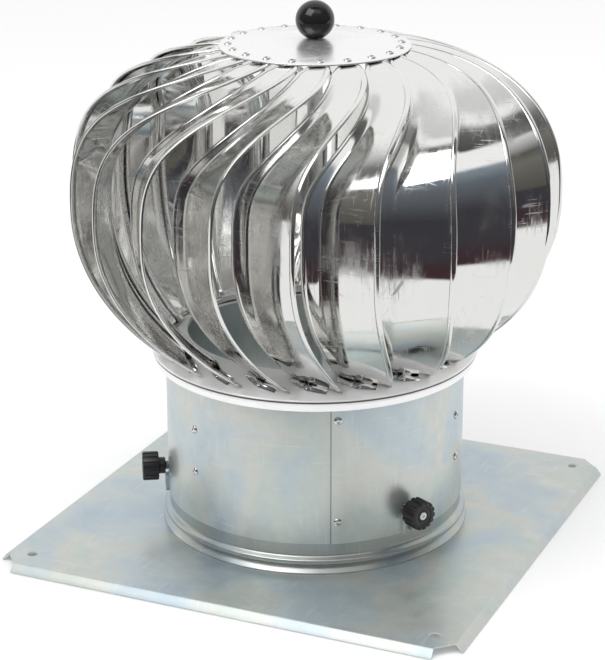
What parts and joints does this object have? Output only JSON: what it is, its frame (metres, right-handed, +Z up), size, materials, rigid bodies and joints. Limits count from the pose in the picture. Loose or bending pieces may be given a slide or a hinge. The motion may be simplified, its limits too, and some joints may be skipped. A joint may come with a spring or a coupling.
{
  "type": "roof turbine ventilator",
  "caption": "Wind-driven roof turbine ventilator: a swept-vane polished rotor on a round neck clamped by thumb screws in a square flanged collar.",
  "frame": {"origin": "centre of the duct bore, in the plane the square flange's border stands on", "axes": "+Z up along the duct and the rotor's shaft; +X and +Y square to the flange's sides"},
  "size_m": [0.324, 0.324, 0.3583],
  "materials": {
    "zinc_flange": "semi-gloss zinc plating",
    "zinc_collar": "semi-gloss zinc plating",
    "zinc_neck": "semi-gloss zinc plating",
    "polished_vane": "mirror polished stainless sheet",
    "polished_ring": "mirror polished stainless sheet",
    "polished_disc": "mirror polished stainless sheet",
    "rivet": "satin domed rivets",
    "machined_steel": "turned",
    "arm_steel": "zinc plated strip",
    "black_plastic": "glossy",
    "knob_plastic": "moulded, slightly glossy",
    "brass_insert": "turned"
  },
  "bodies": {
    "base": {"base_plate": "zinc_flange", "base_collar": "zinc_collar", "clamp_nuts": "machined_steel"},
    "neck": {"neck_shell": "zinc_neck", "seam_rivets": "rivet", "spider_rivets": "rivet", "spider_arm_1": "arm_steel", "spider_arm_2": "arm_steel", "spider_arm_3": "arm_steel", "bearing_housing": "machined_steel", "lower_bearing_outer": "machined_steel", "upper_bearing_outer": "machined_steel"},
    "rotor": {"shaft": "machined_steel", "shaft_flange": "machined_steel", "shaft_nut": "machined_steel", "shaft_washer": "machined_steel", "shaft_spacer": "machined_steel", "lower_bearing_inner": "machined_steel", "upper_bearing_inner": "machined_steel", "top_disc": "polished_disc", "lower_ring": "polished_ring", "ball_knob": "black_plastic", "ball_insert": "brass_insert", "top_rivets": "rivet", "ring_rivets": "rivet", "vane_01": "polished_vane", "vane_02": "polished_vane", "vane_03": "polished_vane", "vane_04": "polished_vane", "vane_05": "polished_vane", "vane_06": "polished_vane", "vane_07": "polished_vane", "vane_08": "polished_vane", "vane_09": "polished_vane", "vane_10": "polished_vane", "vane_11": "polished_vane", "vane_12": "polished_vane", "vane_13": "polished_vane", "vane_14": "polished_vane", "vane_15": "polished_vane", "vane_16": "polished_vane", "vane_17": "polished_vane", "vane_18": "polished_vane", "vane_19": "polished_vane", "vane_20": "polished_vane"},
    "stud_1": {"thumb_stud_1": "machined_steel"},
    "knob_1": {"thumb_knob_1": "knob_plastic"},
    "stud_2": {"thumb_stud_2": "machined_steel"},
    "knob_2": {"thumb_knob_2": "knob_plastic"},
    "stud_3": {"thumb_stud_3": "machined_steel"},
    "knob_3": {"thumb_knob_3": "knob_plastic"}
  },
  "joints": [
    {"name": "neck_lift", "type": "slide", "parent": "base", "child": "neck", "axis": [0, 0, 1], "range_m": [0, 0.04]},
    {"name": "rotor_spin", "type": "hinge", "parent": "neck", "child": "rotor", "pos_m": [0, 0, 0.12], "axis": [0, 0, 1], "continuous": true},
    {"name": "stud_slide_1", "type": "slide", "parent": "base", "child": "stud_1", "axis": [0.866, -0.5, 0], "range_m": [0, 0.002]},
    {"name": "knob_spin_1", "type": "hinge", "parent": "stud_1", "child": "knob_1", "pos_m": [0.09526, -0.055, 0.043], "axis": [0.866, -0.5, 0], "range_deg": [0, 720]},
    {"name": "stud_slide_2", "type": "slide", "parent": "base", "child": "stud_2", "axis": [0, 1, 0], "range_m": [0, 0.002]},
    {"name": "knob_spin_2", "type": "hinge", "parent": "stud_2", "child": "knob_2", "pos_m": [0, 0.11, 0.043], "axis": [0, 1, 0], "range_deg": [0, 720]},
    {"name": "stud_slide_3", "type": "slide", "parent": "base", "child": "stud_3", "axis": [-0.866, -0.5, 0], "range_m": [0, 0.002]},
    {"name": "knob_spin_3", "type": "hinge", "parent": "stud_3", "child": "knob_3", "pos_m": [-0.09526, -0.055, 0.043], "axis": [-0.866, -0.5, 0], "range_deg": [0, 720]}
  ],
  "couplings": [
    {"joint": "stud_slide_1", "follows": "knob_spin_1", "m_per_rad": 0.00015915},
    {"joint": "stud_slide_2", "follows": "knob_spin_2", "m_per_rad": 0.00015915},
    {"joint": "stud_slide_3", "follows": "knob_spin_3", "m_per_rad": 0.00015915}
  ]
}
